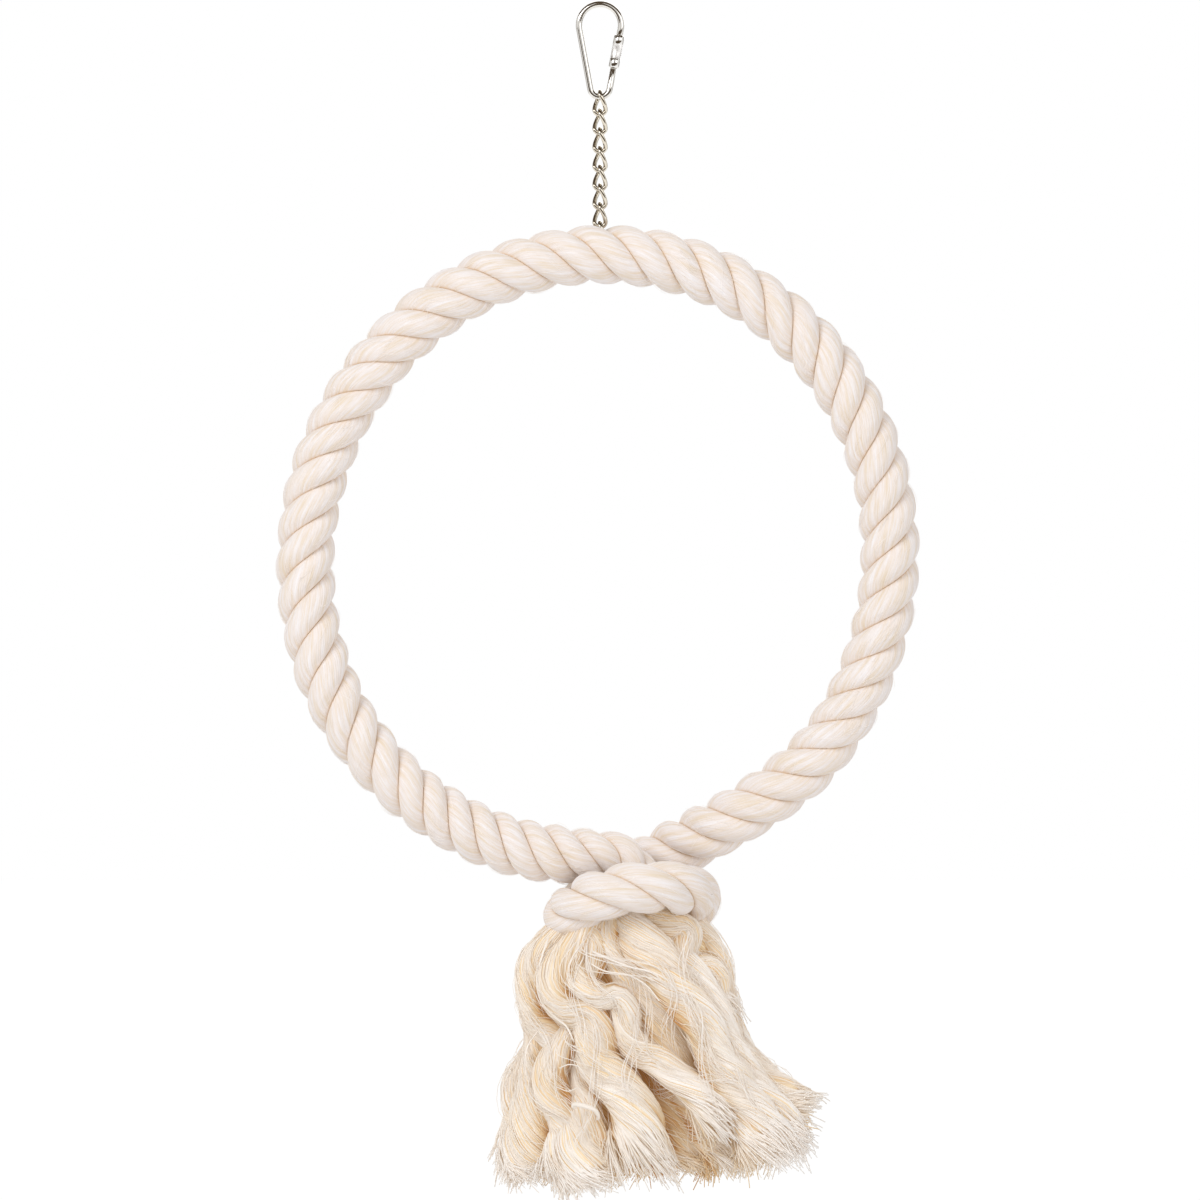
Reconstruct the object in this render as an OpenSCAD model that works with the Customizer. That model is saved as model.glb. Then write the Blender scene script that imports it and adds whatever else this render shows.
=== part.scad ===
// Rope ring bird perch on a short chain, hung from a pear-shaped quick link.
// Millimetres, +Z up, the ring faces -Y. The origin is the inside top of the quick link.

/* [Rope ring] */
// Short way across the rope ring, over its outside
ring_w = 250; // [180:5:320]
// Long way across the rope ring, over its outside
ring_h = 261; // [190:1:330]
// How far the long way leans to the right at the top, in degrees
ring_lean = 15; // [0:1:20]
// How far the ring's middle lies to the left of the chain
ring_shift = 0.9; // [0:0.1:2]
// Diameter of the three-strand rope
rope_d = 23; // [18:0.5:26]
// Length of one full turn of a strand along the rope
lay = 41.7; // [36:0.1:60]
// Turn of the strands at the neck's lower end, in degrees
lay_turn = 63; // [0:1:359]
// Diameter of the steel wire in the heart of the rope
core_d = 2; // [1.6:0.1:2.1]

/* [Knot] */
// How far the knot lies to the right of the chain
knot_x = 13; // [8:1:16]
// Radius of the turn of rope round the neck, at the rope's middle
wrap_r = 24; // [22:0.5:30]
// Radius at which the left end bends down into the neck
neck_bend_r = 13; // [12:0.5:16]
// How far the neck stands to the right of the middle of the turn round it
neck_shift = 1.5; // [0:0.1:3]
// Diameter of the neck, squeezed by the turn round it
neck_d = 19.6; // [16:0.2:20]
// Diameter of the turn of rope round the neck, pulled tight
wrap_d = 20.2; // [16:0.2:20.6]
// How far the turn below it lifts the left end off the ring's own line
knot_lift = 3.3; // [0:0.1:5]
// Length of rope, from the neck's lower end, whose strands the knot twists tighter
tight_len = 130; // [100:5:160]
// Length of one full turn of a strand there
tight_lay = 35; // [34:0.1:60]
// Length of rope, up to its end behind the knot, whose strands the turn round the neck loosens
loose_len = 112; // [90:2:140]
// Length of one full turn of a strand there
loose_lay = 48; // [40:0.5:60]

/* [Tassel] */
// Drop of the tassel's lowest tips below the ring's lower edge
tassel_drop = 119; // [80:1:180]
// Full width of the tassel near its lower end
tassel_w = 120; // [90:2:150]
// Depth of the tassel at its lower end
tassel_low_d = 66; // [50:2:90]
// Sideways swing of the waves in each lock
lock_wave = 3; // [0:0.5:5]

/* [Quick link] */
// Diameter of the quick link's wire
link_wire_d = 2.5; // [2.4:0.1:3]
// Radius of the wide upper bend, at the wire's middle
wide_bend_r = 8.2; // [7:0.1:11]
// Radius of the narrow lower bend, at the wire's middle
narrow_bend_r = 3.8; // [3.4:0.1:4.6]
// Distance between the centres of the two bends
bend_span = 24.2; // [23:0.1:32]
// Outside diameter of the screw sleeve
sleeve_d = 4.15; // [3.9:0.05:5]
// Length of the screw sleeve
sleeve_len = 12.9; // [11:0.1:13]
// Distance from the upper end of the straight leg to the sleeve
sleeve_start = 2.5; // [1.5:0.1:3]
// Width of the gate that the sleeve closes
gate_w = 4; // [3:0.1:4]
// Length of thread that the closed sleeve holds beyond the gate
gate_grip = 3; // [2:0.1:3]

/* [Chain] */
// Diameter of the chain's wire
chain_wire_d = 1.7; // [1.2:0.1:1.8]
// Distance from each chain link to the next
chain_pitch = 7.29; // [7:0.01:9]
// The same distance for the last link, which lies hidden in the rope, down to the core wire
last_link_pitch = 5.4; // [5:0.1:9]

/* [Clearances] */
// Space between two chain links where one bears on the other
bearing_gap = 0.12; // [0.1:0.01:0.2]
// Space on each side of the quick link's wire in the chain link that hangs on it
side_gap = 0.1; // [0.1:0.01:0.2]
// Space between the sleeve's bore and the wire, all round
sleeve_gap = 0.05; // [0.03:0.01:0.1]
// Space left between neighbouring strands of the rope
strand_gap = 0.5; // [0.4:0.05:0.8]
// Space left between neighbouring locks of the tassel
lock_gap = 0.9; // [0.8:0.05:1.4]
// Space round the chain where it enters the rope
pocket_gap = 1.7; // [1.5:0.1:2.5]

/* [Hidden] */
link_count = 9;
strand_count = 3;
lock_columns = 4;
lock_rows = 3;
lock_count = lock_columns * lock_rows;

// The heart of the rope: where each strand's round sits and how far the strands reach in.
strand_offset_share = 0.365;
heart_share = 0.25;
heart_angle = 50;

// Quick link, worked out from its two bends.
link_wire_r = link_wire_d / 2;
wide_z = link_wire_r - wide_bend_r;
narrow_z = wide_z - bend_span;
leg_tilt = asin((wide_bend_r - narrow_bend_r) / bend_span);
leg_len = bend_span * cos(leg_tilt);
leg_top = [wide_bend_r * cos(leg_tilt), 0, wide_z - wide_bend_r * sin(leg_tilt)];
sleeve_chamfer = sleeve_d / 10;

// Chain, hung on the lower bend.
chain_r = chain_wire_d / 2;
chain_w = link_wire_d + 2 * side_gap + 2 * chain_wire_d;
chain_bend_r = chain_w / 2 - chain_r;
function half_straight(pitch) = (pitch + bearing_gap) / 2 + chain_r - chain_bend_r;
chain_top_z = narrow_z - narrow_bend_r + link_wire_r + bearing_gap + chain_wire_d;

// Rope ring, hung in the last chain link by its core wire.
rope_r = rope_d / 2;
core_r = core_d / 2;
last_link_floor = chain_top_z - (link_count - 1) * chain_pitch - last_link_pitch - bearing_gap - chain_wire_d;
ring_a = ring_w / 2 - rope_r;
ring_b = ring_h / 2 - rope_r;

// An angle on the ring counts from the lower end of its long way towards +X.
ring_short_way = [cos(ring_lean), 0, -sin(ring_lean)];
ring_long_way = [sin(ring_lean), 0, cos(ring_lean)];
function ring_reach_at(angle) = ring_a * sin(angle) * ring_short_way - ring_b * cos(angle) * ring_long_way;
// The ring's height puts its middle line on the last link where it crosses the chain.
hang_reach = norm([ring_a * cos(ring_lean), ring_b * sin(ring_lean)]);
hang_angle = 180 + atan2(ring_b * sin(ring_lean), ring_a * cos(ring_lean)) - asin(ring_shift / hang_reach);
hang_z = last_link_floor + bearing_gap + core_r;
ring_z = hang_z - ring_reach_at(hang_angle)[2];
ring_low_z = ring_z - norm([ring_b * cos(ring_lean), ring_a * sin(ring_lean)]);
function ring_at(angle, grow = 1) = [-ring_shift, 0, ring_z] + grow * ring_reach_at(angle);
function ring_slope(angle) =
    let (way = ring_a * cos(angle) * ring_short_way + ring_b * sin(angle) * ring_long_way)
    atan(way[2] / way[0]);
// The left end leaves the ring where its bend into the neck starts. Up to there, the turn of rope
// below it lifts it, by these shares of the lift at angles on the ring.
lift_shares = [[-50, 0], [-20, 0.8], [5, 0.9], [20, 1]];
function lifted_ring_at(angle, grow = 1) =
    ring_at(angle, grow) + [0, 0, knot_lift * lookup(angle, lift_shares)];
neck_x = knot_x + neck_shift;
leave_x = neck_x - neck_bend_r;
leave_angle = lookup(leave_x, [for (angle = [0:0.5:50]) [ring_at(angle)[0], angle]]);
bend_centre = [leave_x, 0, lifted_ring_at(leave_angle)[2] - neck_bend_r];

// The rope's route, as control points that a smooth curve follows: up the neck, left over the bend,
// up the ring's left side, over its top and down its right side, behind the neck and once round it.
ring_step = 15;
wrap_step = 30;
bend_step = 26;
// On a circle the curve runs inside its control points by this factor.
function pull_in(step) = (2 + cos(step)) / 3;
neck_tail_shares = [1.9, 1.6, 1.3, 1.04];
neck_points = [for (share = neck_tail_shares) [neck_x, 0, ring_low_z - share * rope_d]];
bend_points = [for (angle = [0:bend_step:90])
    bend_centre + neck_bend_r / pull_in(bend_step) * [cos(angle), 0, sin(angle)]];
// Turns round the ring from the bend, and the step at each: they grow from the bend's to the ring's.
first_ring_turns = [[4, 6], [11, 9], [19, 13]];
even_ring_turn = 31;
last_ring_turn = 316;
even_ring_turns = [for (turn = [even_ring_turn:ring_step:last_ring_turn]) [turn, ring_step]];
ring_points = [for (row = concat(first_ring_turns, even_ring_turns))
    lifted_ring_at(leave_angle - row[0], 1 / pull_in(row[1]))];
// The right end's way behind the neck: turn about the neck from +X to the back, share of the
// wrap's radius, and share of the rope's diameter below the ring's lowest middle line.
entry_shares = [[5, 1.72, -0.82], [20, 1.29, -0.55], [39, 1.08, -0.32], [66, 0.99, -0.1], [95, 1.02, 0.19],
    [122, 1.05, 0.52], [150, 1.08, 0.8]];
// Then, step by step, round the left, the front and the right to the back, by the same shares.
wrap_reach_shares = [1.05, 1.04, 1.01, 0.985, 0.985, 0.99, 1.01, 1.02, 1.02, 0.98, 0.92];
wrap_drop_shares = [0.93, 0.7, 0.47, 0.37, 0.365, 0.42, 0.54, 0.79, 1.16, 1.5, 1.78];
wrap_start_angle = 180;
function round_neck(angle, reach_share, drop_share) =
    [knot_x, 0, ring_low_z - rope_d * drop_share] + wrap_r * reach_share * [cos(angle), sin(angle), 0];
entry_points = [for (row = entry_shares) round_neck(row[0], row[1], row[2])];
wrap_points = [for (i = [0:len(wrap_drop_shares) - 1])
    round_neck(wrap_start_angle + i * wrap_step, wrap_reach_shares[i] / pull_in(wrap_step),
        wrap_drop_shares[i])];
rope_points = concat(neck_points, bend_points, ring_points, entry_points, wrap_points);

// Smooth curve through a list of control points.
function curve_at(p, i, t) =
    (pow(1 - t, 3) * p[i] + (3 * pow(t, 3) - 6 * t * t + 4) * p[i + 1]
    + (3 * (t + t * t - pow(t, 3)) + 1) * p[i + 2] + pow(t, 3) * p[i + 3]) / 6;
curve_steps = 8;
function curve(p) = [for (i = [0:len(p) - 4], k = [0:curve_steps - 1]) curve_at(p, i, k / curve_steps)];
function unit(v) = v / norm(v);
function lengths_along(p) =
    [for (i = 0, s = 0; i < len(p); i = i + 1, s = s + (i < len(p) ? norm(p[i] - p[i - 1]) : 0)) s];

rope_line = curve(rope_points);
rope_lengths = lengths_along(rope_line);
rope_tables = [for (axis = [0:2]) [for (i = [0:len(rope_line) - 1]) [rope_lengths[i], rope_line[i][axis]]]];
function rope_at(s) = [for (table = rope_tables) lookup(s, table)];
rope_len = rope_lengths[len(rope_lengths) - 1];
rings_per_lay = 11;
ring_count = ceil(rope_len / lay * rings_per_lay);
function evenly(from, to, count) = [for (i = [0:count]) from + (to - from) * i / count];

// Frames carried along a line without twist: [middle, side, other side] at each place.
function directions(p) =
    [for (i = [0:len(p) - 1]) unit(p[min(i + 1, len(p) - 1)] - p[max(i - 1, 0)])];
function square_to(v, t) = unit(v - (v * t) * t);
function frames(p, side) =
    let (t = directions(p), n = len(p))
    [for (i = 0, u = square_to(side, t[0]); i < n; i = i + 1, u = i < n ? square_to(u, t[i]) : u)
        [p[i], u, cross(t[i], u)]];

// A closed skin over rings of points that turn anticlockwise round the way they follow.
// On the sides listed in crossed, each panel is split along its other diagonal.
module skin(rings, closed = false, crossed = []) {
    n = len(rings);
    m = len(rings[0]);
    spans = closed ? n : n - 1;
    sides = [for (i = [0:spans - 1], j = [0:m - 1])
        let (
            a = i * m + j,
            b = i * m + (j + 1) % m,
            c = (i + 1) % n * m + j,
            d = (i + 1) % n * m + (j + 1) % m,
            cross_over = len(search(j, crossed)) > 0
        )
        each cross_over ? [[a, c, b], [b, c, d]] : [[a, d, b], [a, c, d]]];
    start_cap = [for (j = [1:m - 2]) [0, j, j + 1]];
    end_cap = [for (j = [1:m - 2]) [(n - 1) * m, (n - 1) * m + j + 1, (n - 1) * m + j]];
    polyhedron(points = [for (ring = rings) each ring],
        faces = closed ? sides : concat(sides, start_cap, end_cap));
}

function round_ring(frame, r, sides) =
    [for (j = [0:sides - 1])
        frame[0] + r * (cos(360 * j / sides) * frame[1] + sin(360 * j / sides) * frame[2])];

// One strand's section as [radius, angle] round the rope's middle: a round crown, and a narrow root.
strand_offset = rope_r * strand_offset_share;
strand_crown_r = rope_r - strand_offset;
function crown_at(angle) =
    strand_offset * cos(angle) + sqrt(pow(strand_crown_r, 2) - pow(strand_offset * sin(angle), 2));
strand_edge = 180 / strand_count - asin(strand_gap / 2 / crown_at(180 / strand_count));
crown_shares = [-1, -0.6, -0.2, 0.2, 0.6, 1];
heart_r = rope_r * heart_share;
strand_section = concat(
    [for (share = crown_shares) [crown_at(strand_edge * share), strand_edge * share]],
    [[heart_r, heart_angle], [heart_r, -heart_angle]]);

// The neck and the turn round it are squeezed, and the rope has its full size elsewhere.
squeeze_len = PI / 2 * neck_bend_r + rope_d;
wrap_len = 2 * PI * wrap_r;
full_until_share = 1.4;
full_until = rope_len - wrap_len - rope_d * full_until_share;
squeeze_table = [[squeeze_len, neck_d / rope_d], [squeeze_len + rope_d, 1], [full_until, 1],
    [full_until + rope_d, wrap_d / rope_d]];
function squeeze(s) = lookup(s, squeeze_table);
loose_from = rope_len - loose_len;
function twist(s) =
    360 * (min(s, tight_len) / tight_lay + max(min(s, loose_from) - tight_len, 0) / lay
    + max(s - loose_from, 0) / loose_lay);

rope_places = evenly(0, rope_len, ring_count);
rope_frames = frames([for (s = rope_places) rope_at(s)], [0, 1, 0]);
function strand_ring(i, start) =
    [for (place = strand_section)
        let (angle = place[1] + start + twist(rope_places[i]), r = place[0] * squeeze(rope_places[i]))
        rope_frames[i][0] + r * (cos(angle) * rope_frames[i][1] + sin(angle) * rope_frames[i][2])];

// Least gap of the rope to itself, over places in the knot that are two diameters or more apart.
knot_share = 0.75;
knot_places = [for (s = rope_places) if (s < squeeze_len + rope_d * 2 || s > rope_len * knot_share) s];
least_rope_gap = min([for (a = knot_places, b = knot_places)
    if (b - a > 2 * rope_d) norm(rope_at(a) - rope_at(b)) - rope_r * (squeeze(a) + squeeze(b))]);
echo(least_rope_gap = least_rope_gap, rope_len = rope_len);

// Chain links, each turned by a quarter between its two bends. The last one is flat, as it was
// opened and closed to take the core wire.
wire_sides = 8;
link_steps = 24;
turn_end_share = 0.35;
module chain_link(index) {
    last = index == link_count;
    turn = last ? 0 : 90;
    quarter = PI / 2 * chain_bend_r;
    half_len = half_straight(last ? last_link_pitch : chain_pitch);
    loop = 4 * quarter + 4 * half_len;
    step = loop / link_steps;
    top = chain_top_z - (index - 1) * chain_pitch;
    middle_z = top - chain_r - chain_bend_r - half_len;
    // Walks round the flat oval from its top, then turns each point with its height.
    function oval(s) =
        s < quarter ? [chain_bend_r * sin(s / quarter * 90), half_len + chain_bend_r * cos(s / quarter * 90)]
        : s < quarter + 2 * half_len ? [chain_bend_r, half_len - (s - quarter)]
        : s < 2 * quarter + 2 * half_len
            ? [chain_bend_r * cos((s - quarter - 2 * half_len) / quarter * 90),
                -half_len - chain_bend_r * sin((s - quarter - 2 * half_len) / quarter * 90)]
        : -oval(s - loop / 2);
    function turned(s) =
        let (
            p = oval(s % loop),
            rise = max(-1, min(1, p[1] / (half_len + chain_bend_r * turn_end_share))),
            angle = 90 + turn * (1 - rise) / 2
        )
        [p[0] * cos(angle), p[0] * sin(angle), p[1]];
    color("silver") translate([0, 0, middle_z])
        skin([for (i = [0:link_steps - 1])
            let (
                s = step * i,
                p = turned(s),
                t = unit(turned(s + step / wire_sides) - turned(s + loop - step / wire_sides)),
                u = square_to(p, t)
            )
            round_ring([p, u, cross(t, u)], chain_r, wire_sides)], closed = true);
}

// Quick link.
module bend(r, from, to) {
    rotate([90, 0, 0]) rotate([0, 0, from]) rotate_extrude(angle = to - from)
        translate([r, 0]) circle(r = link_wire_r);
}

module leg(from) {
    translate(leg_top) rotate([0, 180 + leg_tilt, 0]) translate([0, 0, from]) children();
}

module quick_link_wire() {
    gate_top = sleeve_start + gate_grip;
    color("silver") {
        translate([0, 0, wide_z]) bend(wide_bend_r, -leg_tilt, 180 + leg_tilt);
        translate([0, 0, narrow_z]) bend(narrow_bend_r, 180 + leg_tilt, 360 - leg_tilt);
        leg(0) cylinder(r = link_wire_r, h = gate_top);
        leg(gate_top + gate_w) cylinder(r = link_wire_r, h = leg_len - gate_top - gate_w);
        mirror([1, 0, 0]) leg(0) cylinder(r = link_wire_r, h = leg_len);
    }
}

module quick_link_sleeve() {
    bore_r = link_wire_r + sleeve_gap;
    color("gainsboro") leg(sleeve_start) rotate_extrude()
        polygon([[bore_r, 0], [sleeve_d / 2 - sleeve_chamfer, 0], [sleeve_d / 2, sleeve_chamfer],
            [sleeve_d / 2, sleeve_len - sleeve_chamfer], [sleeve_d / 2 - sleeve_chamfer, sleeve_len],
            [bore_r, sleeve_len]]);
}

// The wire runs in the rope from one side of the knot to the other.
module core_wire() {
    wire_steps = 90;
    from = squeeze_len + rope_d;
    ring_arc = PI * (ring_a + ring_b) * last_ring_turn / 360;
    places = evenly(from, from + ring_arc - 2 * rope_d, wire_steps);
    color("dimgray") skin([for (frame = frames([for (s = places) rope_at(s)], [0, 1, 0]))
        round_ring(frame, core_r, wire_sides)]);
}

// The hole by which the chain reaches the core wire.
module chain_pocket() {
    floor_z = last_link_floor - chain_wire_d - pocket_gap / 2;
    translate([0, 0, floor_z]) cylinder(r = chain_w / 2 + pocket_gap, h = hang_z + rope_d - floor_z);
}

module rope_strand(index) {
    color("linen") difference() {
        skin([for (i = [0:ring_count]) strand_ring(i, lay_turn + 360 / strand_count * index)],
            crossed = [0, 1, 2, 3, 4, 5, 6]);
        chain_pocket();
    }
}

// Tassel: the frayed ends hang in rows of wavy locks.
tassel_low_z = ring_low_z - rope_r - tassel_drop;
tassel_top_d = 2 * rope_d;
// Tops of the front, middle and back rows below the ring's lowest middle line, in rope diameters.
row_top_shares = [1.28, 1.64, 2.12];
front_top_z = ring_low_z - rope_d * row_top_shares[0];
// The tassel's left and right edges from the neck's middle, in tassel widths, at shares of its drop.
left_edge_shares = [[0, -0.21], [0.07, -0.28], [0.15, -0.38], [0.4, -0.36], [0.6, -0.4],
    [0.75, -0.43], [1, -0.4]];
right_edge_shares = [[0, 0.22], [0.07, 0.27], [0.15, 0.33], [0.4, 0.35], [0.47, 0.4], [0.58, 0.52],
    [0.7, 0.6], [0.8, 0.57], [1, 0.5]];
// How far down each lock hangs, column by column from the left, front row first.
lock_len_shares = [0.95, 0.95, 0.84, 0.84, 0.93, 1, 0.86, 0.82, 0.9, 0.96, 0.82, 0.8];
// Share of its cell that a lock fills from its top to its tip.
lock_fill_shares = [[0, 0.66], [0.18, 0.9], [0.3, 1], [0.92, 1], [1, 0.6]];
lock_steps = 12;
lock_sides = 8;
// Each lock waves this many times down the tassel, and the tassel's depth grows by this power.
lock_waves = 1.5;
depth_power = 0.7;
wave_start_share = 4;
module tassel_lock(index) {
    column = index % lock_columns;
    row = floor(index / lock_columns);
    top_z = ring_low_z - rope_d * row_top_shares[row];
    low_z = top_z + (tassel_low_z - top_z) * lock_len_shares[index];
    // At a height, each lock keeps to its own cell of the tassel's width and depth.
    function cell(z) =
        let (
            down = (front_top_z - z) / (front_top_z - tassel_low_z),
            left = tassel_w * lookup(down, left_edge_shares),
            w = (tassel_w * lookup(down, right_edge_shares) - left) / lock_columns,
            d = (tassel_top_d + (tassel_low_d - tassel_top_d) * pow(max(down, 0), depth_power)) / lock_rows,
            wave = lock_wave * sin(down * lock_waves * 360) * min(1, down * wave_start_share)
        )
        [knot_x + left + w * (column + 0.5) + wave, d * (row - (lock_rows - 1) / 2), w, d];
    color("cornsilk") skin([for (i = [0:lock_steps])
        let (
            z = top_z + (low_z - top_z) * i / lock_steps,
            c = cell(z),
            taper = lookup(i / lock_steps, lock_fill_shares)
        )
        [for (j = [0:lock_sides - 1])
            [c[0] + taper * (c[2] - lock_gap) / 2 * cos(360 * j / lock_sides),
                c[1] - taper * (c[3] - lock_gap) / 2 * sin(360 * j / lock_sides), z]]]);
}

quick_link_wire();
quick_link_sleeve();
core_wire();
for (i = [1:link_count])
    chain_link(i);
for (i = [1:strand_count])
    rope_strand(i - 1);
for (i = [1:lock_count])
    tassel_lock(i - 1);
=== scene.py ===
import math

import bmesh
import bpy
import numpy as np
from mathutils import Matrix, Vector


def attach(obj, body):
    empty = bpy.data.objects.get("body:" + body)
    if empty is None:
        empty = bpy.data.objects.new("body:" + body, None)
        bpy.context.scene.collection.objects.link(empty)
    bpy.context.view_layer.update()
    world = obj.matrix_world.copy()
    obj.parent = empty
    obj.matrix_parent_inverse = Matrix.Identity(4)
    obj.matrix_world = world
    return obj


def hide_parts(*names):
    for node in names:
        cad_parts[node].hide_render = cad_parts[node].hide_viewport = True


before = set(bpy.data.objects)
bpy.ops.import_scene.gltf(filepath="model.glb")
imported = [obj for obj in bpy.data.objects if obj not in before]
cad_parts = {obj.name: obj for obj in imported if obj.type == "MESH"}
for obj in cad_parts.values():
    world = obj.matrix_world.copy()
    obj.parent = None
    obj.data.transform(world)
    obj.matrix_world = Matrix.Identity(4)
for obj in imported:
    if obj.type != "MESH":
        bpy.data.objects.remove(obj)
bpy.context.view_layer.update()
rng = np.random.default_rng(7)

# Sizes in metres, as in the part's source. The ring faces -Y, and +Z is up.
ring_w, ring_h, ring_lean, ring_shift = 0.250, 0.261, math.radians(15), 0.0009
rope_r, lay, lay_turn = 0.0115, 0.0417, math.radians(63)
knot_x, wrap_r, neck_bend_r, knot_lift = 0.013, 0.024, 0.013, 0.0033
neck_x = knot_x + 0.0015
neck_d, wrap_d, tight_len, tight_lay = 0.0196, 0.0202, 0.130, 0.035
loose_len, loose_lay = 0.112, 0.048
wire_r, wide_r, narrow_r, bend_span = 0.00125, 0.0082, 0.0038, 0.0242
sleeve_r, sleeve_len, sleeve_start, gate_start, gate_end = 0.002075, 0.0129, 0.0025, 0.0055, 0.0095
chain_r, chain_pitch, last_pitch, link_count = 0.00085, 0.00729, 0.0054, 9
core_r, bearing_gap, side_gap, strand_count = 0.001, 0.00012, 0.0001, 3

# Places worked out from those sizes.
wide_z = wire_r - wide_r
narrow_z = wide_z - bend_span
leg_tilt = math.asin((wide_r - narrow_r) / bend_span)
leg_top = Vector((wide_r * math.cos(leg_tilt), 0, wide_z - wide_r * math.sin(leg_tilt)))
leg_down = Vector((-math.sin(leg_tilt), 0, -math.cos(leg_tilt)))
chain_bend_r = wire_r + side_gap + chain_r
chain_top_z = narrow_z - narrow_r + wire_r + bearing_gap + 2 * chain_r
hang_z = chain_top_z - (link_count - 1) * chain_pitch - last_pitch - 2 * chain_r + core_r
ring_a, ring_b = ring_w / 2 - rope_r, ring_h / 2 - rope_r


# Shared helpers for meshes.

def finish_piece(name, mesh, material, body, replaces=()):
    """Makes a mesh a smooth piece with a material, which rides on a body."""
    mesh.name = name
    mesh.polygons.foreach_set("use_smooth", [True] * len(mesh.polygons))
    mesh.materials.clear()
    mesh.materials.append(material)
    piece = bpy.data.objects.new(name, mesh)
    bpy.context.scene.collection.objects.link(piece)
    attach(piece, body)
    if replaces:
        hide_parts(*replaces)
    return piece


def mesh_from(bm):
    """Makes a bmesh a mesh."""
    mesh = bpy.data.meshes.new("mesh")
    bm.to_mesh(mesh)
    bm.free()
    return mesh


def drawn_tubes(lines, radii, sides, closed=False):
    """Tubes along lines of points, as one mesh. A line that isn't closed gets capped ends."""
    curve = bpy.data.curves.new("tubes", "CURVE")
    curve.dimensions = "3D"
    curve.bevel_depth = 1.0
    curve.bevel_resolution = (sides - 4) // 2
    curve.use_fill_caps = not closed
    for line, radius in zip(lines, radii):
        spline = curve.splines.new("POLY")
        spline.points.add(len(line) - 1)
        spline.points.foreach_set("co", np.column_stack([line, np.ones(len(line))]).ravel())
        spline.points.foreach_set("radius", np.broadcast_to(radius, len(line)).astype(float))
        spline.use_cyclic_u = closed
    drawing = bpy.data.objects.new("tubes", curve)
    bpy.context.scene.collection.objects.link(drawing)
    graph = bpy.context.evaluated_depsgraph_get()
    mesh = bpy.data.meshes.new_from_object(drawing.evaluated_get(graph))
    bpy.data.objects.remove(drawing)
    bpy.data.curves.remove(curve)
    return mesh


def weld(mesh):
    """Closes the seams where points coincide."""
    bm = bmesh.new()
    bm.from_mesh(mesh)
    bmesh.ops.remove_doubles(bm, verts=bm.verts, dist=1e-7)
    bm.to_mesh(mesh)
    bm.free()


def swept_skin(points, along, across, painted_shade):
    """A closed skin over rings of points, the last of each ring on its first. It has a UV map of lengths
    along and across, and carries a weight of painted shade for each point."""
    rows, columns = points.shape[0] - 1, points.shape[1] - 1
    bm = bmesh.new()
    bm.loops.layers.uv.new("along")
    bmesh.ops.create_grid(bm, x_segments=columns, y_segments=rows, size=0.5, calc_uvs=True)
    mesh = bpy.data.meshes.new("skin")
    bm.to_mesh(mesh)
    mesh.vertices.foreach_set("co", points.reshape(-1, 3).astype(np.float32).ravel())
    corners = np.empty(len(mesh.loops), int)
    mesh.loops.foreach_get("vertex_index", corners)
    uv = np.column_stack([along.ravel()[corners], across.ravel()[corners]])
    mesh.uv_layers["along"].data.foreach_set("uv", uv.astype(np.float32).ravel())
    near = mesh.attributes.new("painted_shade", "FLOAT", "POINT")
    near.data.foreach_set("value", painted_shade.ravel().astype(np.float32))
    bm.clear()
    bm.from_mesh(mesh)
    bpy.data.meshes.remove(mesh)
    # The skin closes where its sides meet, and at both ends.
    bmesh.ops.remove_doubles(bm, verts=bm.verts, dist=1e-7)
    bmesh.ops.holes_fill(bm, edges=[e for e in bm.edges if e.is_boundary], sides=0)
    bmesh.ops.recalc_face_normals(bm, faces=bm.faces)
    return bm


# Shared helpers for materials.

def linear(hex_colour):
    """An sRGB hex colour as linear red, green, blue and alpha."""
    parts = [int(hex_colour[i:i + 2], 16) / 255 for i in (0, 2, 4)]
    return [c / 12.92 if c <= 0.04045 else ((c + 0.055) / 1.055) ** 2.4 for c in parts] + [1.0]


def add(tree, kind, inputs=None, stops=(), **settings):
    """Adds a node with its settings. An input is a value, or an output socket to link. Stops are the
    places and hex colours of a colour ramp."""
    made = tree.nodes.new(kind)
    for key, value in settings.items():
        setattr(made, key, value)
    for key, value in (inputs or {}).items():
        if isinstance(value, bpy.types.NodeSocket):
            tree.links.new(value, made.inputs[key])
        else:
            made.inputs[key].default_value = value
    if stops:
        elements = made.color_ramp.elements
        while len(elements) < len(stops):
            elements.new(0.5)
        for element, (place, colour) in zip(elements, stops):
            element.position = place
            element.color = linear(colour)
    return made


def new_material(name):
    material = bpy.data.materials.new(name)
    material.use_nodes = True
    tree = material.node_tree
    tree.nodes.clear()
    return material, tree


# Nickel-plated steel wire: drawn, bent and barrel plated, so it is bright with a faint orange peel.
def plated_steel(name, colour, roughness):
    material, tree = new_material(name)
    place = add(tree, "ShaderNodeTexCoord").outputs["Object"]
    peel = add(tree, "ShaderNodeTexNoise", {"Vector": place, "Scale": 900.0, "Detail": 3.0})
    haze = add(tree, "ShaderNodeTexNoise", {"Vector": place, "Scale": 180.0, "Detail": 2.0})
    rough = add(tree, "ShaderNodeMapRange", {
        "Value": haze.outputs["Fac"], "To Min": roughness * 0.85, "To Max": roughness * 1.2})
    bump = add(tree, "ShaderNodeBump", {
        "Height": peel.outputs["Fac"], "Strength": 0.06, "Distance": 0.00004})
    shader = add(tree, "ShaderNodeBsdfPrincipled", {
        "Base Color": linear(colour), "Metallic": 1.0,
        "Roughness": rough.outputs["Result"], "Normal": bump.outputs["Normal"]})
    add(tree, "ShaderNodeOutputMaterial", {"Surface": shader.outputs["BSDF"]})
    return material


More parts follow.
